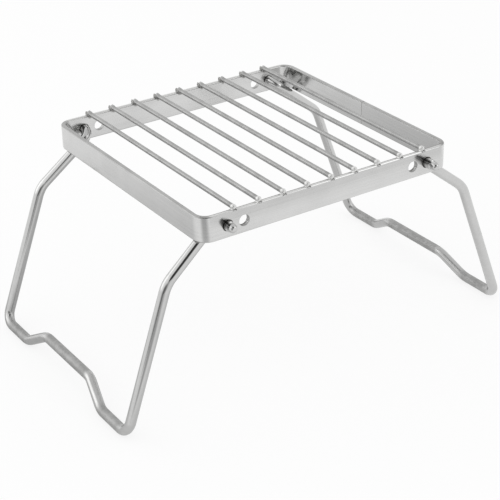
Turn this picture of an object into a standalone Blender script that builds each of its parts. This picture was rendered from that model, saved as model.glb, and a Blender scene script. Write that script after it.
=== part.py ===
"""A folding camp grill stand: a welded rod grate in a flat-bar band, standing on two hinged wire legs.

X runs along the front of the band, Y from front to back and Z up.
The origin is on the ground, under the middle of the grate.
All sizes below are in millimetres and degrees.
"""

import math

import bmesh
import bpy
from mathutils import Matrix, Vector

MM = 0.001

# Band: one flat bar bent on edge into a closed rectangle
BAND_WIDTH = 180.0
BAND_DEPTH = 175.0
BAND_TOP = 129.5
BAR_HEIGHT = 16.0
BAR_THICKNESS = 3.0
BAR_EDGE_RADIUS = 0.8
CORNER_RADIUS = 9.0
SEAM_OFFSET = -2.5
SEAM_WIDTH = 0.5
SEAM_DEPTH = 0.25

# Grate rods: laid across the front and back strips and welded down at their ends
ROD_DIAMETER = 3.0
ROD_PITCH = 17.0
FIRST_ROD_INSET = 23.1
LEAST_LAST_ROD_INSET = 19.0
ROD_SINK = 0.4
ROD_END_INSET = 0.2
WELD_GROWTH = 0.25

# Holes in the front and back strips: a pivot hole and a spare hole at each end
PIVOT_INSET = 18.0
PIVOT_DROP = 8.2
SPARE_HOLE_SPACING = 11.0
SPARE_HOLE_DIAMETER = 7.0

# Legs: each one is a single bent wire that hinges on its own two turned-out ends
WIRE_DIAMETER = 6.4
UPPER_ARM_LENGTH = 47.5
LOWER_ARM_SLOPE = 70.0
PIN_BEND_RADIUS = 7.0
KNEE_BEND_RADIUS = 18.0
FOOT_BEND_RADIUS = 8.0
RAMP_BEND_RADIUS = 13.0
FOOT_RUN_LENGTH = 32.0
RAMP_LENGTH = 20.0
FOOT_RISE = 12.0

# Pin ends: the wire reaches out of the band and steps down to a domed nose
LEFT_PIN_REACH = 7.4
RIGHT_PIN_REACH = 10.5
NOSE_STEP = 0.5
NOSE_LENGTH = 4.8
NOSE_SHOULDER = 0.4

# Clearances between pieces
SEAT_GAP = 0.3
PIN_CLEARANCE = 0.3
STOP_GAP = 0.4
PIN_BEND_GAP = 1.4
KNEE_SIDE_GAP = 2.1
FOOT_SIDE_GAP = 0.4

# Smoothness of the round shapes
CORNER_SEGMENTS = 8
EDGE_SEGMENTS = 3
HOLE_SIDES = 28
SEAT_SIDES = 20
DOME_STEPS = 4
WIRE_BEVEL_RESOLUTION = 6
ROD_BEVEL_RESOLUTION = 4
BEND_STEP = 10.0

# Colours of the steel
SATIN_STEEL = (0.60, 0.60, 0.59, 1.0)
ROD_STEEL = (0.50, 0.50, 0.49, 1.0)
BRIGHT_STEEL = (0.66, 0.66, 0.65, 1.0)


def clear_scene():
    for existing in list(bpy.data.objects):
        bpy.data.objects.remove(existing, do_unlink=True)


def steel(name, colour, roughness):
    """A plain stainless steel material."""
    material = bpy.data.materials.new(name)
    material.use_nodes = True
    shader = material.node_tree.nodes["Principled BSDF"]
    shader.inputs["Base Color"].default_value = colour
    shader.inputs["Metallic"].default_value = 1.0
    shader.inputs["Roughness"].default_value = roughness
    return material


def add_object(name, data, material=None):
    item = bpy.data.objects.new(name, data)
    bpy.context.scene.collection.objects.link(item)
    if material:
        data.materials.append(material)
    return item


def rounded_outline(width, depth, radius):
    """Points of a rectangle with round corners, centred on the origin, counter-clockwise."""
    points = []
    corners = ((1, 1, 0), (-1, 1, 90), (-1, -1, 180), (1, -1, 270))
    for side_x, side_y, start in corners:
        centre_x = side_x * (width / 2 - radius)
        centre_y = side_y * (depth / 2 - radius)
        for step in range(CORNER_SEGMENTS + 1):
            angle = math.radians(start + 90 * step / CORNER_SEGMENTS)
            points.append((centre_x + radius * math.cos(angle), centre_y + radius * math.sin(angle)))
    return points


def outline_loop(mesh, points, height):
    """A closed loop of edges through the points at one height."""
    verts = [mesh.verts.new((x * MM, y * MM, height * MM)) for x, y in points]
    return [mesh.edges.new((verts[i - 1], verts[i])) for i in range(len(verts))]


def add_ring(mesh, outer, inner, bottom, height):
    """A ring between two outlines, extruded upwards. Returns its vertices."""
    loops = outline_loop(mesh, outer, bottom) + outline_loop(mesh, inner, bottom)
    ring = bmesh.ops.bridge_loops(mesh, edges=loops)["faces"]
    raised = bmesh.ops.extrude_face_region(mesh, geom=ring, use_keep_orig=True)["geom"]
    raised_verts = [item for item in raised if isinstance(item, bmesh.types.BMVert)]
    bmesh.ops.translate(mesh, verts=raised_verts, vec=(0, 0, height * MM))
    ring_verts = {vert for face in ring for vert in face.verts}
    return list(ring_verts) + raised_verts


def make_band(material):
    """The flat-bar band with its rod seats, holes and butt seam."""
    inner_width = BAND_WIDTH - 2 * BAR_THICKNESS
    inner_depth = BAND_DEPTH - 2 * BAR_THICKNESS
    outer = rounded_outline(BAND_WIDTH, BAND_DEPTH, CORNER_RADIUS)
    inner = rounded_outline(inner_width, inner_depth, CORNER_RADIUS - BAR_THICKNESS)

    mesh = bmesh.new()
    add_ring(mesh, outer, inner, BAND_TOP - BAR_HEIGHT, BAR_HEIGHT)
    bmesh.ops.recalc_face_normals(mesh, faces=mesh.faces)
    data = bpy.data.meshes.new("frame_band")
    mesh.to_mesh(data)
    mesh.free()
    data.shade_smooth()

    band = add_object("frame_band", data, material)
    rounding = band.modifiers.new("rolled edges", "BEVEL")
    rounding.width = BAR_EDGE_RADIUS * MM
    rounding.segments = EDGE_SEGMENTS
    rounding.limit_method = "ANGLE"
    rounding.angle_limit = math.radians(60)
    drilling = band.modifiers.new("holes, rod seats and seam", "BOOLEAN")
    drilling.operation = "DIFFERENCE"
    drilling.solver = "EXACT"
    drilling.object = make_band_cutters()
    return band


def make_band_cutters():
    """Long cylinders along Y, for each pair of holes and each rod's seats, and the seam's ring."""
    mesh = bmesh.new()
    length = BAND_DEPTH + 2 * BAR_THICKNESS
    pivot_diameter = WIRE_DIAMETER + 2 * PIN_CLEARANCE
    hole_height = BAND_TOP - PIVOT_DROP
    for side in (-1, 1):
        pivot_x = side * (BAND_WIDTH / 2 - PIVOT_INSET)
        spare_x = pivot_x - side * SPARE_HOLE_SPACING
        add_cylinder(mesh, pivot_x, hole_height, pivot_diameter, length, HOLE_SIDES)
        add_cylinder(mesh, spare_x, hole_height, SPARE_HOLE_DIAMETER, length, HOLE_SIDES)
    seat_diameter = ROD_DIAMETER + 2 * (WELD_GROWTH + SEAT_GAP)
    for rod_x in rod_positions():
        add_cylinder(mesh, rod_x, rod_height(), seat_diameter, length, SEAT_SIDES)
    add_seam_ring(mesh)
    bmesh.ops.recalc_face_normals(mesh, faces=mesh.faces)
    data = bpy.data.meshes.new("band_cutters")
    mesh.to_mesh(data)
    mesh.free()
    cutters = add_object("band_cutters", data)
    cutters.hide_render = True
    cutters.display_type = "WIRE"
    return cutters


def add_cylinder(mesh, x, z, diameter, length, sides):
    """A capped cylinder along Y through the point (x, 0, z)."""
    radius = diameter / 2 * MM
    place = Matrix.Translation((x * MM, 0, z * MM)) @ Matrix.Rotation(math.radians(90), 4, "X")
    bmesh.ops.create_cone(mesh, cap_ends=True, segments=sides, radius1=radius, radius2=radius,
                          depth=length * MM, matrix=place)


def add_seam_ring(mesh):
    """A ring round the bar of the right strip, for the shallow groove where the bar's ends meet."""
    inner_radius = max(BAR_EDGE_RADIUS - SEAM_DEPTH, SEAM_DEPTH)
    inner = rounded_outline(BAR_THICKNESS - 2 * SEAM_DEPTH, BAR_HEIGHT - 2 * SEAM_DEPTH, inner_radius)
    outer = rounded_outline(BAR_THICKNESS + 2 * SEAM_DEPTH, BAR_HEIGHT + 2 * SEAM_DEPTH, inner_radius)
    ring_verts = add_ring(mesh, outer, inner, -SEAM_WIDTH / 2, SEAM_WIDTH)
    bar_centre = Vector((BAND_WIDTH / 2 - BAR_THICKNESS / 2, SEAM_OFFSET, BAND_TOP - BAR_HEIGHT / 2))
    place = Matrix.Translation(bar_centre * MM) @ Matrix.Rotation(math.radians(90), 4, "X")
    bmesh.ops.transform(mesh, matrix=place, verts=ring_verts)


def rod_positions():
    """Rods at one pitch from the first, as many as the band has room for."""
    first = -BAND_WIDTH / 2 + FIRST_ROD_INSET
    room = BAND_WIDTH - FIRST_ROD_INSET - LEAST_LAST_ROD_INSET
    return [first + ROD_PITCH * index for index in range(int(room / ROD_PITCH) + 1)]


def rod_height():
    """Height of the rods' axes: they lie on the band's top edge, sunk into it a little."""
    return BAND_TOP + ROD_DIAMETER / 2 - ROD_SINK


def round_wire(name, path, diameter, bevel_resolution, material):
    """A closed round wire along a path of (point, thickness factor) pairs."""
    data = bpy.data.curves.new(name, "CURVE")
    data.dimensions = "3D"
    data.bevel_depth = diameter / 2 * MM
    data.bevel_resolution = bevel_resolution
    data.use_fill_caps = True
    spline = data.splines.new("POLY")
    spline.points.add(len(path) - 1)
    for target, (point, factor) in zip(spline.points, path):
        target.co = (point.x * MM, point.y * MM, point.z * MM, 1)
        target.radius = factor
    return add_object(name, data, material)


def dome(tip, direction, radius, full_radius):
    """Path points that round off a wire's end, from its tip inwards along the direction."""
    points = []
    for step in range(1, DOME_STEPS + 1):
        angle = math.radians(90 * step / DOME_STEPS)
        depth = radius * (1 - math.cos(angle))
        points.append((tip + direction * depth, radius * math.sin(angle) / full_radius))
    return points


def make_rod(index, rod_x, material):
    """One straight rod with both ends melted round where they are welded to the band."""
    half = BAND_DEPTH / 2 - ROD_END_INSET
    radius = ROD_DIAMETER / 2
    weld_radius = radius + WELD_GROWTH
    tip = Vector((0, -half, 0))
    inwards = Vector((0, 1, 0))
    front = dome(tip, inwards, weld_radius, radius)
    front.append((tip + inwards * BAR_THICKNESS, 1.0))
    back = [(Vector((0, -point.y, 0)), factor) for point, factor in reversed(front)]
    rod = round_wire("grate_rod_%d" % index, front + back, ROD_DIAMETER, ROD_BEVEL_RESOLUTION, material)
    rod.location = (rod_x * MM, 0, rod_height() * MM)
    return rod


def arm_slope():
    """Slope of the upper arm when it leans on the inner lower edge of the end strip."""
    across = PIVOT_INSET - BAR_THICKNESS + BAR_EDGE_RADIUS
    down = BAR_HEIGHT - BAR_EDGE_RADIUS - PIVOT_DROP
    reach = WIRE_DIAMETER / 2 + BAR_EDGE_RADIUS + STOP_GAP
    return math.atan2(down, across) + math.asin(reach / math.hypot(across, down))


def filleted(corners):
    """Points along a path of (corner, bend radius) pairs, with each corner turned as an arc."""
    points = [corners[0][0]]
    for before, (corner, radius), after in zip(corners, corners[1:], corners[2:]):
        to_before = (before[0] - corner).normalized()
        to_after = (after[0] - corner).normalized()
        turn = math.pi - to_before.angle(to_after)
        start = corner + to_before * radius * math.tan(turn / 2)
        centre = corner + (to_before + to_after).normalized() * radius / math.cos(turn / 2)
        axis = to_after.cross(to_before)
        steps = max(2, math.ceil(math.degrees(turn) / BEND_STEP))
        for step in range(steps + 1):
            swing = Matrix.Rotation(turn * step / steps, 3, axis)
            points.append(centre + swing @ (start - centre))
    points.append(corners[-1][0])
    return points


def leg_corners(side, pin_reach):
    """Corners of one leg's centre line and their bend radii, measured from the pivot axis at mid-depth."""
    outer_y = BAND_DEPTH / 2
    inner_y = outer_y - BAR_THICKNESS
    arm_y = inner_y - PIN_BEND_GAP - PIN_BEND_RADIUS
    knee_y = inner_y - KNEE_SIDE_GAP - WIRE_DIAMETER / 2
    foot_y = inner_y - FOOT_SIDE_GAP - WIRE_DIAMETER / 2
    pivot_height = BAND_TOP - PIVOT_DROP
    slope = arm_slope()
    knee = Vector((math.cos(slope), 0, -math.sin(slope))) * UPPER_ARM_LENGTH
    lower_slope = math.radians(LOWER_ARM_SLOPE)
    lower_direction = Vector((math.cos(lower_slope), 0, -math.sin(lower_slope)))
    lower_length = (pivot_height + knee.z - WIRE_DIAMETER / 2) / math.sin(lower_slope)
    foot = knee + lower_direction * lower_length
    raised = foot - lower_direction * FOOT_RISE
    run_end_y = foot_y - FOOT_RUN_LENGTH
    ramp_end_y = run_end_y - RAMP_LENGTH
    stations = (
        (Vector((0, 0, 0)), outer_y + pin_reach, 0),
        (Vector((0, 0, 0)), arm_y, PIN_BEND_RADIUS),
        (knee, knee_y, KNEE_BEND_RADIUS),
        (foot, foot_y, FOOT_BEND_RADIUS),
        (foot, run_end_y, RAMP_BEND_RADIUS),
        (raised, ramp_end_y, RAMP_BEND_RADIUS),
    )
    front = [(Vector((side * spot.x, -y, spot.z)), radius) for spot, y, radius in stations]
    back = [(Vector((point.x, -point.y, point.z)), radius) for point, radius in reversed(front)]
    return front + back


def pin_end(tip, inwards):
    """The stepped, domed end of a pin, from its tip to the start of the full wire."""
    wire_radius = WIRE_DIAMETER / 2
    nose_radius = wire_radius - NOSE_STEP
    points = dome(tip, inwards, nose_radius, wire_radius)
    points.append((tip + inwards * NOSE_LENGTH, nose_radius / wire_radius))
    points.append((tip + inwards * (NOSE_LENGTH + NOSE_SHOULDER), 1.0))
    return points


def make_leg(name, side, pin_reach, material):
    """One bent wire leg, with its origin on its hinge axis at mid-depth."""
    centre_line = filleted(leg_corners(side, pin_reach))
    front_tip = centre_line[0]
    back_tip = centre_line[-1]
    front = pin_end(front_tip, Vector((0, 1, 0)))
    back = pin_end(back_tip, Vector((0, -1, 0)))
    middle = [(point, 1.0) for point in centre_line[1:-1]]
    path = front + middle + back[::-1]
    leg = round_wire(name, path, WIRE_DIAMETER, WIRE_BEVEL_RESOLUTION, material)
    pivot_x = side * (BAND_WIDTH / 2 - PIVOT_INSET)
    leg.location = (pivot_x * MM, 0, (BAND_TOP - PIVOT_DROP) * MM)
    return leg


def build():
    clear_scene()
    make_band(steel("satin steel band", SATIN_STEEL, 0.32))
    for index, rod_x in enumerate(rod_positions(), start=1):
        make_rod(index, rod_x, steel("grate rod steel %d" % index, ROD_STEEL, 0.38))
    make_leg("left_leg", -1, LEFT_PIN_REACH, steel("left leg steel", BRIGHT_STEEL, 0.18))
    make_leg("right_leg", 1, RIGHT_PIN_REACH, steel("right leg steel", BRIGHT_STEEL, 0.18))


build()
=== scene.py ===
import math
import random

import bmesh
import bpy
from mathutils import Matrix, Vector


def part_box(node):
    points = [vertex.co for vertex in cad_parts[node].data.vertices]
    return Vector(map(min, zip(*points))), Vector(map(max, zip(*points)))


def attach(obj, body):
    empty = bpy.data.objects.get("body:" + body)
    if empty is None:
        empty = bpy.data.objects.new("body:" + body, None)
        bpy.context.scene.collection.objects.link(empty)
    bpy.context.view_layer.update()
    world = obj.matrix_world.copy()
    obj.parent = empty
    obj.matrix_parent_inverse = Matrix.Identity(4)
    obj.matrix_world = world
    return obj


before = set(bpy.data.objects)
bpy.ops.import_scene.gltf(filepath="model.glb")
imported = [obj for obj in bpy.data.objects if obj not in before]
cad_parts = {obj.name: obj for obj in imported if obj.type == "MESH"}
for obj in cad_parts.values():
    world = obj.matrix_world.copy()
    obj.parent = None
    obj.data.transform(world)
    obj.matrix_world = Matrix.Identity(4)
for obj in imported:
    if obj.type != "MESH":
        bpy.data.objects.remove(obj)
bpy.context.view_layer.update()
print("frame loaded:", len(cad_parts), "nodes")


def addToScene(name, data):
    thing = bpy.data.objects.new(name, data)
    bpy.context.scene.collection.objects.link(thing)
    return thing


def addMesh(name, mesh):
    data = bpy.data.meshes.new(name)
    mesh.to_mesh(data)
    mesh.free()
    return addToScene(name, data)


def outwards(turn, rise):
    # unit vector, in degrees round from +X and degrees up
    turn = math.radians(turn)
    rise = math.radians(rise)
    return Vector((math.cos(turn) * math.cos(rise), math.sin(turn) * math.cos(rise), math.sin(rise)))


def lookingBack(aim, outward, distance):
    # stands at a distance from the aim and looks back at it
    upright = outward.to_track_quat("Z", "Y").to_matrix().to_4x4()
    return Matrix.Translation(Vector(aim) + outward * distance) @ upright


# Camera, at the photograph's angle
cameraSettings = {
    "lens": 106.05,  # mm
    "sensor": 36.0,
    "target": (-0.00508, -0.00592, 0.05028),
    "distance": 0.95263,
    "turn": -122.857,
    "rise": 27.699,
    "roll": -1.523,
}


def placeCamera(settings):
    data = bpy.data.cameras.new("photoCamera")
    data.lens = settings["lens"]
    data.sensor_width = settings["sensor"]
    data.sensor_fit = "HORIZONTAL"
    data.clip_start = 0.01
    camera = addToScene("photoCamera", data)
    outward = outwards(settings["turn"], settings["rise"])
    roll = Matrix.Rotation(math.radians(settings["roll"]), 4, "Z")
    camera.matrix_world = lookingBack(settings["target"], outward, settings["distance"]) @ roll
    bpy.context.scene.camera = camera


placeCamera(cameraSettings)
print("camera placed")


# Short names for the shader nodes that come up again and again
def plug(tree, source, socket):
    if isinstance(source, bpy.types.NodeSocket):
        tree.links.new(source, socket)
    else:
        socket.default_value = source


def maths(tree, operation, first, second=0.0, clamp=False):
    node = tree.nodes.new("ShaderNodeMath")
    node.operation = operation
    node.use_clamp = clamp
    plug(tree, first, node.inputs[0])
    plug(tree, second, node.inputs[1])
    return node.outputs[0]


def plus(tree, first, second, clamp=False):
    return maths(tree, "ADD", first, second, clamp)


def minus(tree, first, second):
    return maths(tree, "SUBTRACT", first, second)


def times(tree, first, *others):
    for other in others:
        first = maths(tree, "MULTIPLY", first, other)
    return first


def larger(tree, first, *others):
    for other in others:
        first = maths(tree, "MAXIMUM", first, other)
    return first


def absolute(tree, value):
    return maths(tree, "ABSOLUTE", value)


def length(tree, first, second):
    return maths(tree, "SQRT", plus(tree, times(tree, first, first), times(tree, second, second)))


def without(tree, mask, share, start=1.0):
    # start where the mask is 0, and less by the share where it is 1
    return minus(tree, start, times(tree, mask, share))


def weigh(tree, weights, masks, clamp=False):
    # a start value plus each mask times its weight
    total = weights["start"]
    for name, weight in weights.items():
        if name != "start":
            total = plus(tree, total, times(tree, masks[name], weight))
    return plus(tree, total, 0.0, clamp)


def ramp(tree, value, low, high, start=0.0, end=1.0):
    node = tree.nodes.new("ShaderNodeMapRange")
    node.interpolation_type = "SMOOTHSTEP"
    plug(tree, value, node.inputs["Value"])
    plug(tree, low, node.inputs["From Min"])
    plug(tree, high, node.inputs["From Max"])
    plug(tree, start, node.inputs["To Min"])
    plug(tree, end, node.inputs["To Max"])
    return node.outputs["Result"]


def within(tree, value, centre, half, soft):
    return ramp(tree, absolute(tree, minus(tree, value, centre)), half, half + soft, 1.0, 0.0)


def noise(tree, vector, scale, detail=2.0, roughness=0.5):
    node = tree.nodes.new("ShaderNodeTexNoise")
    plug(tree, vector, node.inputs["Vector"])
    plug(tree, scale, node.inputs["Scale"])
    plug(tree, detail, node.inputs["Detail"])
    plug(tree, roughness, node.inputs["Roughness"])
    return node.outputs[0]


def mixColor(tree, factor, first, second):
    node = tree.nodes.new("ShaderNodeMix")
    node.data_type = "RGBA"
    plug(tree, factor, node.inputs[0])
    plug(tree, first, node.inputs[6])  # 6 and 7 are the colour inputs of this node
    plug(tree, second, node.inputs[7])
    return node.outputs[2]


def parts(tree, vector):
    node = tree.nodes.new("ShaderNodeSeparateXYZ")
    plug(tree, vector, node.inputs[0])
    return node.outputs[0], node.outputs[1], node.outputs[2]


def steelPlace(tree):
    return tree.nodes.new("ShaderNodeTexCoord").outputs["Object"]


def geometry(tree, output):
    return tree.nodes.new("ShaderNodeNewGeometry").outputs[output]


def bumpNormal(tree, height, strength, distance):
    node = tree.nodes.new("ShaderNodeBump")
    node.inputs["Strength"].default_value = strength
    node.inputs["Distance"].default_value = distance
    plug(tree, height, node.inputs["Height"])
    return node.outputs["Normal"]


# Effects that more than one steel has. Each group puts out masks between 0 and 1.
def newGroup(name, inputs, outputs):
    group = bpy.data.node_groups.new(name, "ShaderNodeTree")
    for label, value in inputs.items():
        socket = group.interface.new_socket(name=label, in_out="INPUT", socket_type="NodeSocketFloat")
        socket.default_value = value
    for label in outputs:
        group.interface.new_socket(name=label, in_out="OUTPUT", socket_type="NodeSocketFloat")
    given = group.nodes.new("NodeGroupInput").outputs
    made = group.nodes.new("NodeGroupOutput").inputs
    return group, given, made


# A noise is its scale, detail and roughness, and its range is where the mask starts and where it is full.
grainSettings = {
    "waves": {"Waves X": 900.0, "Waves Y": 900.0, "Waves Z": 900.0},  # per metre along each axis
    "lines": (1.0, 4.0, 0.65),
    "linesRange": (0.3, 0.7),
    "scratches": (0.37, 1.0, 0.4),
    "scratchesRange": (0.66, 0.71),
}


def makeDrawnGrain(settings):
    # lines left by drawing and rolling
    group, given, made = newGroup("drawnGrain", settings["waves"], ["Grain", "Scratches"])
    stretch = group.nodes.new("ShaderNodeCombineXYZ")
    for axis, label, socket in zip(parts(group, steelPlace(group)), settings["waves"], stretch.inputs):
        plug(group, times(group, axis, given[label]), socket)
    lines = noise(group, stretch.outputs[0], *settings["lines"])
    plug(group, ramp(group, lines, *settings["linesRange"]), made["Grain"])
    scratches = noise(group, stretch.outputs[0], *settings["scratches"])
    plug(group, ramp(group, scratches, *settings["scratchesRange"]), made["Scratches"])
    return group


markSettings = {
    "counts": {"Smudges per metre": 45.0, "Flecks per metre": 900.0},
    "smudge": (3.0, 0.6),  # detail and roughness
    "smudgeRange": (0.35, 0.68),
    "flecks": (2.0, 0.6),
    "flecksRange": (0.6, 0.72),
}


def makeHandlingMarks(settings):
    # soft smudges and tiny flecks
    group, given, made = newGroup("handlingMarks", settings["counts"], ["Smudge", "Flecks"])
    place = steelPlace(group)
    cloudy = noise(group, place, given["Smudges per metre"], *settings["smudge"])
    plug(group, ramp(group, cloudy, *settings["smudgeRange"]), made["Smudge"])
    speckled = noise(group, place, given["Flecks per metre"], *settings["flecks"])
    plug(group, ramp(group, speckled, *settings["flecksRange"]), made["Flecks"])
    return group


edgeSettings = {
    "samples": 4,
    "turned": (0.99, 0.88),  # how far the rounded normal turns from the flat one, as a cosine
    "broken": (420.0, 3.0, 0.6),
    "brokenRange": (0.3, 0.6),
}


def makeEdgeWearAndHighlightMask(settings):
    # the rounded outer edges, rubbed bright by wear and given a painted highlight
    group, given, made = newGroup("edgeWearAndHighlightMask", {"Width": 0.0006}, ["Edge"])
    rounded = group.nodes.new("ShaderNodeBevel")
    rounded.samples = settings["samples"]
    plug(group, given["Width"], rounded.inputs["Radius"])
    turned = group.nodes.new("ShaderNodeVectorMath")
    turned.operation = "DOT_PRODUCT"
    plug(group, rounded.outputs[0], turned.inputs[0])
    plug(group, geometry(group, "Normal"), turned.inputs[1])
    edge = ramp(group, turned.outputs["Value"], *settings["turned"])
    broken = noise(group, steelPlace(group), *settings["broken"])
    plug(group, times(group, edge, ramp(group, broken, *settings["brokenRange"])), made["Edge"])
    return group


drawnGrain = makeDrawnGrain(grainSettings)
handlingMarks = makeHandlingMarks(markSettings)
edgeWearAndHighlightMask = makeEdgeWearAndHighlightMask(edgeSettings)


def addGroup(tree, group, values):
    node = tree.nodes.new("ShaderNodeGroup")
    node.node_tree = group
    for socket, value in zip(node.inputs, values):
        socket.default_value = value
    return node.outputs


def newSteel(name):
    material = bpy.data.materials.new(name)
    material.use_nodes = True
    tree = material.node_tree
    shader = tree.nodes["Principled BSDF"]
    shader.inputs["Metallic"].default_value = 1.0
    return material, tree, shader


def drawnMasks(tree, settings):
    grain = addGroup(tree, drawnGrain, settings["waves"])
    marks = addGroup(tree, handlingMarks, settings["marks"])
    return {
        "grain": grain["Grain"],
        "scratches": grain["Scratches"],
        "smudge": marks["Smudge"],
        "flecks": marks["Flecks"],
    }


# Band: satin flat bar with lengthwise rolling lines, duller cut edges, drilled holes and a faint weld seam.
# Places are in metres. A pair is where a mask starts and where it is full, or its half width and soft border.
bandSettings = {
    "dark": (0.53, 0.53, 0.525, 1.0),
    "light": (0.75, 0.75, 0.745, 1.0),
    "edgeWearAndHighlight": (0.92, 0.92, 0.91, 1.0),  # outer edges, rubbed bright by wear and painted brighter as a highlight
    # dark colour for painted shade (inner edge line, rod contact shadows, pivot hole) and for the real weld seam
    "paintedShadeAndSeam": (0.16, 0.155, 0.145, 1.0),
    "cutEdge": (0.32, 0.32, 0.315, 1.0),
    "drilled": (0.46, 0.46, 0.455, 1.0),
    "waves": (14.0, 14.0, 2600.0),
    "marks": (38.0, 1100.0),
    "edgeMaskWidth": 0.0007,
    "tone": {"start": 0.48, "grain": 0.26, "smudge": -0.14, "flecks": -0.18, "frontTopShade": -0.36, "scratches": -0.12},
    "rough": {"start": 0.11, "smudge": 0.07, "grain": 0.05, "cutEdge": 0.14, "shadeSeamAndHoles": 0.2},
    "relief": {"start": 0.0, "grain": 1.0, "flecks": -0.8, "scratches": -0.9},
    "bump": (0.1, 0.00002),
    "innerX": 0.0870,
    "innerY": 0.0845,
    "top": 0.1295,
    # painted light and shade: the top edge is painted bright on the front and back strips and dull on the end strips
    "endStrip": (0.0810, 0.0860),
    "endTilt": 0.65,
    "cutTilt": (0.75, 0.95),
    "topEdgePaintedLight": (0.62, 0.2),
    "edgeSmudge": -0.1,
    "edgeWearAndHighlightShare": (0.9, 0.8),  # all round, and how much less on the end strips, where the painted highlight is dimmer
    # painted shade: the front strip's outer face is darker towards its top
    "outerFace": (-0.0868, -0.0873),
    "frontTopShade": (0.1190, 0.1280),
    # painted shade: a dark line along the inner corner of the top edge
    "shadeLineX": (0.0004, 0.0003),
    "shadeLineY": (0.0009, 0.0004),
    "shadeLineTilt": (0.35, 0.8),
    "shadeLineLessAtEnds": 0.6,
    "shadeLineFrontBack": (0.05, -0.05, 0.3, 1.0),
    "shadeLineShare": 0.8,
    # painted contact shadow at each rod's foot, on the inner side of the strip
    "firstRod": -0.0669,
    "rodPitch": 0.017,
    "rodReach": (0.075, 0.002),
    "contact": 0.0019,
    "contactWaves": 700.0,
    "contactBorder": (-0.0005, 0.0006),
    "contactInside": (0.0857, 0.0849),
    "contactShare": 0.7,
    # the butt weld in the right strip
    "seamY": -0.0025,
    "seamLine": (0.0002, 0.0003),
    "seamX": (0.085, 0.086),
    "seamShare": 0.12,
    # drilled holes: a spare one and a pivot one with painted shade on its wall
    "holes": (0.061, 0.072),
    "holeHeight": 0.1213,
    "holeWall": (0.0036, 0.00375),
    "pivotFrom": (0.0665, 0.0685),
    "pivotShade": 0.8,
}


# painted shade: a dark line along the inner corner of the top edge, weaker on the end strips and towards the back
def innerEdgeShadeLine(tree, settings, place, endStrip, upward):
    line = larger(
        tree,
        within(tree, place["fromY"], settings["innerY"], *settings["shadeLineY"]),
        within(tree, place["fromX"], settings["innerX"], *settings["shadeLineX"]),
    )
    return times(
        tree,
        line,
        ramp(tree, upward, *settings["shadeLineTilt"]),
        without(tree, endStrip, settings["shadeLineLessAtEnds"]),
        ramp(tree, place["y"], *settings["shadeLineFrontBack"]),
        settings["shadeLineShare"],
    )


def rodContactShadows(tree, settings, place):
    # painted contact shadow, across from the nearest rod and down from the top edge
    along = maths(tree, "DIVIDE", minus(tree, place["x"], settings["firstRod"]), settings["rodPitch"])
    off = minus(tree, maths(tree, "FRACT", plus(tree, along, 0.5)), 0.5)
    drop = minus(tree, place["z"], settings["top"])
    reach = length(tree, times(tree, off, settings["rodPitch"]), drop)
    uneven = noise(tree, steelPlace(tree), settings["contactWaves"], 2.0)
    radius = times(tree, plus(tree, uneven, 0.5), settings["contact"])
    return times(
        tree,
        ramp(tree, minus(tree, reach, radius), *settings["contactBorder"], 1.0, 0.0),
        within(tree, place["fromX"], 0.0, *settings["rodReach"]),
        ramp(tree, place["fromY"], *settings["contactInside"]),
        settings["contactShare"],
    )


def seamLine(tree, settings, place):
    line = within(tree, place["y"], settings["seamY"], *settings["seamLine"])
    return times(tree, line, ramp(tree, place["x"], *settings["seamX"]), settings["seamShare"])


def drilledWalls(tree, settings, place):
    height = minus(tree, place["z"], settings["holeHeight"])
    walls = 0.0
    for hole in settings["holes"]:
        distance = length(tree, minus(tree, place["fromX"], hole), height)
        walls = larger(tree, walls, ramp(tree, distance, *settings["holeWall"], 1.0, 0.0))
    return walls


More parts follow.
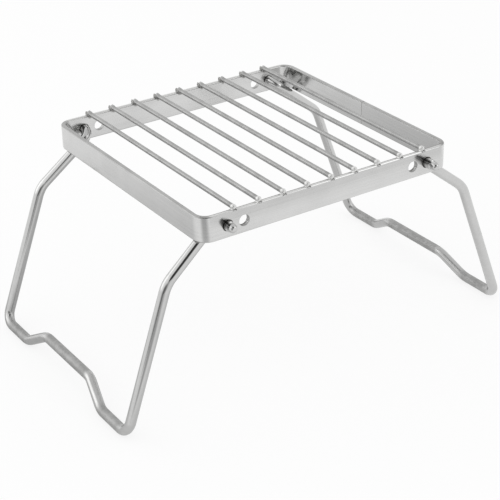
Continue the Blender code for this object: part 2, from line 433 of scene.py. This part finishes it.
def makeBandSteel(settings):
    material, tree, shader = newSteel("bandSteel")
    masks = drawnMasks(tree, settings)
    edges = addGroup(tree, edgeWearAndHighlightMask, [settings["edgeMaskWidth"]])
    x, y, z = parts(tree, steelPlace(tree))
    place = {"x": x, "y": y, "z": z, "fromX": absolute(tree, x), "fromY": absolute(tree, y)}
    upward = parts(tree, geometry(tree, "Normal"))[2]
    endStrip = ramp(tree, place["fromX"], *settings["endStrip"])
    tilt = plus(tree, absolute(tree, upward), times(tree, endStrip, settings["endTilt"]))
    masks["cutEdge"] = ramp(tree, tilt, *settings["cutTilt"])
    masks["frontTopShade"] = times(tree, ramp(tree, y, *settings["outerFace"]), ramp(tree, z, *settings["frontTopShade"]))

    drilled = drilledWalls(tree, settings, place)
    # painted shade (inner edge line, rod contact shadows, pivot hole wall) together with the real weld seam
    paintedShadeAndSeam = larger(
        tree,
        innerEdgeShadeLine(tree, settings, place, endStrip, upward),
        rodContactShadows(tree, settings, place),
        seamLine(tree, settings, place),
        # painted shade on the pivot holes' walls
        times(tree, drilled, ramp(tree, place["fromX"], *settings["pivotFrom"]), settings["pivotShade"]),
    )
    # rougher where the painted shade, the seam and the drilled walls are
    masks["shadeSeamAndHoles"] = larger(tree, paintedShadeAndSeam, drilled)

    tone = weigh(tree, settings["tone"], masks, clamp=True)
    faces = mixColor(tree, tone, settings["dark"], settings["light"])
    # painted highlight on the front and back strips' top edges, painted shade on the end strips' top edges
    topEdgePaintedLight = ramp(tree, endStrip, 0.0, 1.0, *settings["topEdgePaintedLight"])
    edgeTone = plus(tree, times(tree, masks["smudge"], settings["edgeSmudge"]), topEdgePaintedLight, clamp=True)
    cut = mixColor(tree, edgeTone, settings["cutEdge"], settings["edgeWearAndHighlight"])
    color = mixColor(tree, masks["cutEdge"], faces, cut)
    allRound, lessAtEnds = settings["edgeWearAndHighlightShare"]
    edgeWearAndHighlight = times(tree, edges["Edge"], without(tree, endStrip, lessAtEnds, allRound))
    color = mixColor(tree, edgeWearAndHighlight, color, settings["edgeWearAndHighlight"])
    color = mixColor(tree, drilled, color, settings["drilled"])
    plug(tree, mixColor(tree, paintedShadeAndSeam, color, settings["paintedShadeAndSeam"]), shader.inputs["Base Color"])
    plug(tree, weigh(tree, settings["rough"], masks), shader.inputs["Roughness"])
    relief = weigh(tree, settings["relief"], masks)
    plug(tree, bumpNormal(tree, relief, *settings["bump"]), shader.inputs["Normal"])
    return material


# Grate rods: dull drawn rod, with bright weld metal at the ends and a painted highlight on them, much dimmer at the
# back
rodSettings = {
    "dark": (0.35, 0.35, 0.345, 1.0),
    "light": (0.52, 0.52, 0.515, 1.0),
    "melted": (0.80, 0.80, 0.79, 1.0),
    "waves": (1900.0, 16.0, 1900.0),
    "marks": (90.0, 1500.0),
    "tone": {"start": 0.38, "grain": 0.3, "smudge": -0.2, "flecks": -0.15, "scorched": -0.35},
    "rough": {"start": 0.36, "smudge": 0.1, "grain": 0.06, "melted": 0.1},
    "relief": {"start": 0.0, "grain": 1.0, "flecks": -1.0},
    "bump": (0.3, 0.00002),
    "meltedFrom": (0.0838, 0.0854),  # from the middle of the rod
    # painted highlight: the bright ends are much dimmer at the back than at the front
    "meltedBackFront": (0.01, -0.01, 0.25, 1.0),
    "scorched": (0.0826, 0.0006, 0.0022),  # a dull ring where the heat stopped
}


def makeRodSteel(settings):
    material, tree, shader = newSteel("rodSteel")
    masks = drawnMasks(tree, settings)
    y = parts(tree, steelPlace(tree))[1]
    fromMiddle = absolute(tree, y)
    melted = times(tree, ramp(tree, fromMiddle, *settings["meltedFrom"]), ramp(tree, y, *settings["meltedBackFront"]))
    masks["melted"] = melted
    masks["scorched"] = within(tree, fromMiddle, *settings["scorched"])

    tone = weigh(tree, settings["tone"], masks, clamp=True)
    drawn = mixColor(tree, tone, settings["dark"], settings["light"])
    plug(tree, mixColor(tree, melted, drawn, settings["melted"]), shader.inputs["Base Color"])
    plug(tree, weigh(tree, settings["rough"], masks), shader.inputs["Roughness"])
    relief = weigh(tree, settings["relief"], masks)
    plug(tree, bumpNormal(tree, relief, *settings["bump"]), shader.inputs["Normal"])
    return material


# Legs: polished wire, worn to a mottled satin on the foot bars but not on the ramps between them
legSettings = {
    "dark": (0.49, 0.49, 0.485, 1.0),
    "light": (0.70, 0.70, 0.695, 1.0),
    "satinDark": (0.40, 0.40, 0.395, 1.0),
    "pinRootShade": (0.07, 0.068, 0.065, 1.0),  # painted shade in the gap where a pin leaves its hole
    "waves": (500.0, 22.0, 500.0),
    "marks": (60.0, 1300.0),
    "tone": {"start": 0.44, "grain": 0.12, "smudge": -0.1, "flecks": -0.1},
    "rough": {"start": 0.06, "smudge": 0.035, "flecks": 0.05, "satin": 0.54},
    "relief": {"start": 0.0, "mottledSatin": 1.0, "flecks": -0.4},
    "bump": (0.1, 0.00002),
    "footHeight": (0.031, 0.021),
    "footHalf": (0.0705, 0.010),
    "ramps": (0.0375, 0.0075, 0.006),
    "rampPolish": 0.85,
    "mottle": (260.0, 3.0, 0.55),
    "mottleRange": (0.3, 0.7),
    "pinShadePlace": (0.0880, 0.0010, 0.0012),  # along the pin
    "pinShadeAbove": (0.112, 0.115),
    "pinShadeWaves": 900.0,
    "pinShadePatches": (0.25, 0.5, 0.4, 0.68),
}


def makeLegSteel(settings):
    material, tree, shader = newSteel("legSteel")
    masks = drawnMasks(tree, settings)
    y, z = parts(tree, steelPlace(tree))[1:]
    fromMiddle = absolute(tree, y)
    ramps = within(tree, fromMiddle, *settings["ramps"])
    satin = times(
        tree,
        ramp(tree, z, *settings["footHeight"]),
        within(tree, y, 0.0, *settings["footHalf"]),
        without(tree, ramps, settings["rampPolish"]),
    )
    mottled = noise(tree, steelPlace(tree), *settings["mottle"])
    mottled = ramp(tree, mottled, *settings["mottleRange"])
    masks["satin"] = satin
    masks["mottledSatin"] = times(tree, satin, mottled)

    tone = weigh(tree, settings["tone"], masks)
    polished = mixColor(tree, tone, settings["dark"], settings["light"])
    dulled = mixColor(tree, mottled, settings["satinDark"], settings["dark"])
    # painted shade in patches on the pin where it leaves its hole
    patchy = noise(tree, steelPlace(tree), settings["pinShadeWaves"], 2.0)
    pinRootShade = times(
        tree,
        within(tree, fromMiddle, *settings["pinShadePlace"]),
        ramp(tree, z, *settings["pinShadeAbove"]),
        ramp(tree, patchy, *settings["pinShadePatches"]),
    )
    color = mixColor(tree, satin, polished, dulled)
    plug(tree, mixColor(tree, pinRootShade, color, settings["pinRootShade"]), shader.inputs["Base Color"])
    plug(tree, weigh(tree, settings["rough"], masks), shader.inputs["Roughness"])
    relief = weigh(tree, settings["relief"], masks)
    plug(tree, bumpNormal(tree, relief, *settings["bump"]), shader.inputs["Normal"])
    return material


# Edges that turn by more degrees than this stay crisp
sharpAngles = {"band": 38, "rod": 60, "leg": 38}


def dress(node, material, sharpAngle):
    node.data.materials.clear()
    node.data.materials.append(material)
    node.data.shade_smooth()
    weld = node.modifiers.new("joinSplitCorners", "WELD")
    weld.merge_threshold = 0.000002
    crisp = node.modifiers.new("crispEdges", "EDGE_SPLIT")
    crisp.use_edge_sharp = False
    crisp.split_angle = math.radians(sharpAngle)
    normals = node.modifiers.new("evenNormals", "WEIGHTED_NORMAL")
    normals.weight = 100


bandSteel = makeBandSteel(bandSettings)
rodSteel = makeRodSteel(rodSettings)
legSteel = makeLegSteel(legSettings)
for name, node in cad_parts.items():
    if name == "frame_band":
        dress(node, bandSteel, sharpAngles["band"])
    elif name.startswith("grate_rod"):
        dress(node, rodSteel, sharpAngles["rod"])
    else:
        dress(node, legSteel, sharpAngles["leg"])
print("steel done")


# Weld metal where the rods' ends have melted into the band's top edge.
# The front ends are ground flush with the strip, the back ones stand out as small knobs.
weldSettings = {
    "top": 0.1295,
    "rodRadius": 0.0015,
    "rodHeight": 0.0011,  # rod's axis above the top edge
    "outerFace": 0.0875,
    "innerEnd": 0.08435,
    "toe": (-0.00008, 0.00012),  # height of the weld's edge, and just inside it
    "root": (0.0011, 0.00085),  # half width and depth of its root in the notch
    "swell": (0.1, 0.8),  # start and length of the half wave that thickens its middle
    "wander": 0.00018,
    "liftWander": 0.25,  # share of the wander that goes upwards
    "steps": 7,
    "seed": 7,
    # spread beside the rod, hump above it, overhang past the outer face, and how low the outer end starts and how
    # fast it rises from there
    "front": {"side": -1, "spread": 0.0008, "hump": 0.0, "overhang": 0.00004, "rise": (0.05, 2.6), "ground": True},
    "back": {"side": 1, "spread": 0.0008, "hump": 0.0006, "overhang": 0.0008, "rise": (1.0, 0.0), "ground": False},
}


def weldOutline(settings, spread, hump):
    # the weld's cross-section, from one toe over the rod to the other, and its root below
    radius = settings["rodRadius"]
    axis = settings["rodHeight"]
    toeHeight, toeInside = settings["toe"]
    half = [
        (radius + spread, toeHeight),
        (radius + spread * 0.55, toeInside),
        (radius + spread * 0.25 + hump * 0.5, axis * 0.32),
        (radius + spread * 0.06 + hump * 0.7, axis * 0.9),
        (radius * 0.9 + hump * 0.5, axis + radius * 0.5 + hump * 0.4),
        (radius * 0.45, axis + radius * 0.55 + hump * 1.25),
    ]
    outline = [(-across, up) for across, up in reversed(half)] + half
    width, depth = settings["root"]
    return outline + [(width, -depth), (-width, -depth)]


def weldRing(mesh, rodX, share, settings, end, dice):
    outer = settings["outerFace"] + end["overhang"]
    depth = outer - share * (outer - settings["innerEnd"])
    start, wave = settings["swell"]
    swell = 0.5 + 0.5 * math.sin(math.pi * (start + wave * share))
    spread = end["spread"] * swell + dice.uniform(-1, 1) * settings["wander"]
    low, climb = end["rise"]
    rise = min(1.0, low + climb * share)
    ring = []
    for across, up in weldOutline(settings, spread, end["hump"] * swell):
        lift = up + dice.uniform(-1, 1) * settings["wander"] * settings["liftWander"]
        if lift > 0.0:
            lift *= rise
        ring.append(mesh.verts.new((rodX + across, end["side"] * depth, settings["top"] + lift)))
    return ring


def addNugget(mesh, crease, rodX, settings, end, dice):
    last = settings["steps"] - 1
    rings = [weldRing(mesh, rodX, step / last, settings, end, dice) for step in range(last + 1)]
    count = len(rings[0])
    for near, far in zip(rings, rings[1:]):
        for i in range(count):
            j = (i + 1) % count
            mesh.faces.new((near[i], near[j], far[j], far[i]))
    outerEnd = mesh.faces.new(rings[0])
    mesh.faces.new(reversed(rings[-1]))
    if end["ground"]:
        for edge in outerEnd.edges:
            edge.smooth = False
            edge[crease] = 1.0


def makeWelds(settings):
    mesh = bmesh.new()
    crease = mesh.edges.layers.float.new("crease_edge")
    dice = random.Random(settings["seed"])
    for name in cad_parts:
        if name.startswith("grate_rod"):
            low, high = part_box(name)
            for end in (settings["front"], settings["back"]):
                addNugget(mesh, crease, (low[0] + high[0]) / 2, settings, end, dice)
    bmesh.ops.recalc_face_normals(mesh, faces=mesh.faces)
    welds = addMesh("rodWelds", mesh)
    welds.data.shade_smooth()
    soften = welds.modifiers.new("meltedSmooth", "SUBSURF")
    soften.levels = 1
    soften.render_levels = 1
    return welds


weldSteelSettings = {
    "dark": (0.26, 0.26, 0.25, 1.0),
    "light": (0.86, 0.86, 0.85, 1.0),
    "ground": (0.58, 0.58, 0.575, 1.0),
    "marks": (420.0, 1800.0),
    "tone": {"start": 0.85, "smudge": -0.28, "shadedAtBack": -0.62, "flecks": -0.12},  # painted shade: darker at the back
    "rough": {"start": 0.46, "smudge": 0.12, "ground": -0.3},
    "bump": (0.22, 0.0001),
    "back": (-0.01, 0.01),
    "groundFacing": (-0.9, -0.98),
}


def makeWeldSteel(settings):
    material, tree, shader = newSteel("weldSteel")
    marks = addGroup(tree, handlingMarks, settings["marks"])
    ground = ramp(tree, parts(tree, geometry(tree, "Normal"))[1], *settings["groundFacing"])
    masks = {
        "smudge": marks["Smudge"],
        "flecks": marks["Flecks"],
        "shadedAtBack": ramp(tree, parts(tree, steelPlace(tree))[1], *settings["back"]),
        "ground": ground,
    }
    melted = mixColor(tree, weigh(tree, settings["tone"], masks, clamp=True), settings["dark"], settings["light"])
    plug(tree, mixColor(tree, ground, melted, settings["ground"]), shader.inputs["Base Color"])
    plug(tree, weigh(tree, settings["rough"], masks), shader.inputs["Roughness"])
    relief = times(tree, masks["smudge"], without(tree, ground, 1.0))
    plug(tree, bumpNormal(tree, relief, *settings["bump"]), shader.inputs["Normal"])
    return material


rodWelds = makeWelds(weldSettings)
rodWelds.data.materials.append(makeWeldSteel(weldSteelSettings))
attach(rodWelds, "grate")
print("welds done")


# Stage: a white floor that keeps a faint shadow. In the steel it shows a painted shadow under and behind the grill
# and painted shade towards the room's dark side.
floorSettings = {
    "size": 4.0,
    "color": (0.95, 0.95, 0.95, 1.0),
    "shown": 0.8,  # share of plain white that the camera and the steel see
    "shadeCentre": (-0.06, 0.09),
    "shade": (0.34, 0.05, 0.0, 0.48),  # no shade outside, full shade inside, and how deep it is
    "darkSide": (202.0, 223.0, 256.0, 233.0),  # bearings where the floor, as the steel sees it, has painted shade towards the room's dark side
    "darkReach": (0.22, 0.38, 0.0, 0.62),
}


def seenRays(tree):
    # camera, mirror and transmission rays see the plain white
    path = tree.nodes.new("ShaderNodeLightPath").outputs
    return larger(tree, path["Is Camera Ray"], path["Is Glossy Ray"], path["Is Transmission Ray"])


def bearing(tree, x, y):
    # degrees round from +X, 0 to 360
    turned = maths(tree, "ARCTAN2", times(tree, y, -1.0), times(tree, x, -1.0))
    return plus(tree, maths(tree, "DEGREES", turned), 180.0)


def between(tree, value, limits):
    rising, full, gone, falling = limits
    return times(tree, ramp(tree, value, rising, full), ramp(tree, value, gone, falling))


def newPaint(name):
    material = bpy.data.materials.new(name)
    material.use_nodes = True
    tree = material.node_tree
    tree.nodes.remove(tree.nodes["Principled BSDF"])
    return material, tree, tree.nodes["Material Output"].inputs["Surface"]


def glow(tree, darkness):
    # plain white light, less by the darkness
    node = tree.nodes.new("ShaderNodeEmission")
    plug(tree, minus(tree, 1.0, darkness), node.inputs["Strength"])
    return node.outputs[0]


def makeFloor(settings):
    mesh = bmesh.new()
    bmesh.ops.create_grid(mesh, x_segments=1, y_segments=1, size=settings["size"] / 2)
    floor = addMesh("studioFloor", mesh)
    material, tree, surface = newPaint("studioFloorWhite")
    x, y = parts(tree, geometry(tree, "Position"))[:2]
    centreX, centreY = settings["shadeCentre"]
    fromShade = length(tree, minus(tree, x, centreX), minus(tree, y, centreY))
    shade = ramp(tree, fromShade, *settings["shade"])
    darkSide = between(tree, bearing(tree, x, y), settings["darkSide"])
    darkSide = times(tree, darkSide, ramp(tree, length(tree, x, y), *settings["darkReach"]))
    inSteel = tree.nodes.new("ShaderNodeLightPath").outputs["Is Glossy Ray"]
    paper = tree.nodes.new("ShaderNodeBsdfDiffuse")
    paper.inputs["Color"].default_value = settings["color"]
    both = tree.nodes.new("ShaderNodeMixShader")
    plug(tree, times(tree, seenRays(tree), settings["shown"]), both.inputs[0])
    plug(tree, paper.outputs[0], both.inputs[1])
    plug(tree, glow(tree, times(tree, larger(tree, shade, darkSide), inSteel)), both.inputs[2])
    plug(tree, both.outputs[0], surface)
    floor.data.materials.append(material)


# The studio's walls and ceiling, which only the steel sees: pale, with a dark side behind the camera.
# Bearings and heights above the horizon are in degrees, seen from the grill.
grillHeight = 0.08
roomSettings = {
    "radius": 1.6,
    "segments": (48, 32),
    "lift": 0.002,
    "darkEdge": (246.0, -0.6),  # the dark side's sharp edge at the horizon, and its change for each degree up
    "darkEdgeSoft": 5.0,
    "darkEnd": (292.0, 262.0),
    "darkFrom": (12.0, 27.0),
    "darkTop": (78.0, 60.0, 0.0, 0.95),
    "lowSide": (182.0, 218.0, 274.0, 226.0),
    "lowTop": (34.0, 14.0, 0.0, 0.82),
    "ceiling": (48.0, 66.0, 0.0, 0.24),
    "farWall": 5.0,  # bearing of the greyer wall behind the grill
    "farWide": (0.7, 0.9),  # as a cosine
    "farRise": (4.0, 20.0, 0.0, 0.2),
}


def makeDome(settings):
    # a ball cut off just above the floor
    mesh = bmesh.new()
    around, up = settings["segments"]
    bmesh.ops.create_uvsphere(mesh, u_segments=around, v_segments=up, radius=settings["radius"])
    for vertex in mesh.verts:
        vertex.co.z = max(vertex.co.z, 0.0) + settings["lift"]
    bmesh.ops.remove_doubles(mesh, verts=mesh.verts, dist=0.0001)
    flat = [face for face in mesh.faces if face.calc_center_median().z < settings["lift"] + 0.001]
    bmesh.ops.delete(mesh, geom=flat, context="FACES")
    return addMesh("studioRoom", mesh)


def makeRoom(settings):
    room = makeDome(settings)
    room.visible_camera = False
    room.visible_diffuse = False
    room.visible_shadow = False
    room.visible_transmission = False
    room.visible_volume_scatter = False

    material, tree, surface = newPaint("studioRoomPaint")
    x, y, z = parts(tree, geometry(tree, "Position"))
    turn = bearing(tree, x, y)
    rise = maths(tree, "ARCTAN2", minus(tree, z, grillHeight), length(tree, x, y))
    rise = maths(tree, "DEGREES", rise)
    horizon, slant = settings["darkEdge"]
    edge = plus(tree, times(tree, rise, slant), horizon)
    high = times(
        tree,
        ramp(tree, minus(tree, turn, edge), 0.0, settings["darkEdgeSoft"]),
        ramp(tree, turn, *settings["darkEnd"]),
        ramp(tree, rise, *settings["darkFrom"]),
        ramp(tree, rise, *settings["darkTop"]),
    )
    low = times(tree, between(tree, turn, settings["lowSide"]), ramp(tree, rise, *settings["lowTop"]))
    ceiling = ramp(tree, rise, *settings["ceiling"])
    towards = maths(tree, "COSINE", maths(tree, "RADIANS", minus(tree, turn, settings["farWall"])))
    far = times(tree, ramp(tree, towards, *settings["farWide"]), ramp(tree, rise, *settings["farRise"]))
    plug(tree, glow(tree, larger(tree, high, low, ceiling, far)), surface)
    room.data.materials.append(material)


# Soft boxes: a window at the back left with a wider wash round it, and a small one at the front right
softBoxes = {
    "windowBox": {"turn": 141.0, "rise": 24.0, "distance": 1.1, "width": 0.80, "height": 0.78, "white": 0.55},
    "washBox": {"turn": 160.0, "rise": 32.0, "distance": 1.25, "width": 2.0, "height": 1.05, "white": 0.14},
    "frontRightBox": {"turn": 312.0, "rise": 34.0, "distance": 1.1, "width": 0.30, "height": 0.40, "white": 1.0},
}


def makeSoftBox(name, settings):
    data = bpy.data.lights.new(name, "AREA")
    data.shape = "RECTANGLE"
    data.size = settings["width"]
    data.size_y = settings["height"]
    data.energy = settings["white"] * math.pi * settings["width"] * settings["height"]
    lamp = addToScene(name, data)
    outward = outwards(settings["turn"], settings["rise"])
    lamp.matrix_world = lookingBack((0, 0, grillHeight), outward, settings["distance"])
    lamp.visible_camera = False


worldSettings = {
    "color": (1.0, 1.0, 1.0, 1.0),
    "light": 0.92,  # what lights the floor
    "seen": 1.0,  # what the camera and the steel see
}


def makeWorld(settings):
    world = bpy.data.worlds.new("studio")
    world.use_nodes = True
    tree = world.node_tree
    background = tree.nodes["Background"].inputs
    background["Color"].default_value = settings["color"]
    strength = ramp(tree, seenRays(tree), 0.0, 1.0, settings["light"], settings["seen"])
    plug(tree, strength, background["Strength"])
    bpy.context.scene.world = world


makeFloor(floorSettings)
makeRoom(roomSettings)
for name, settings in softBoxes.items():
    makeSoftBox(name, settings)
makeWorld(worldSettings)
bpy.context.scene.view_settings.view_transform = "Standard"
print("stage done")
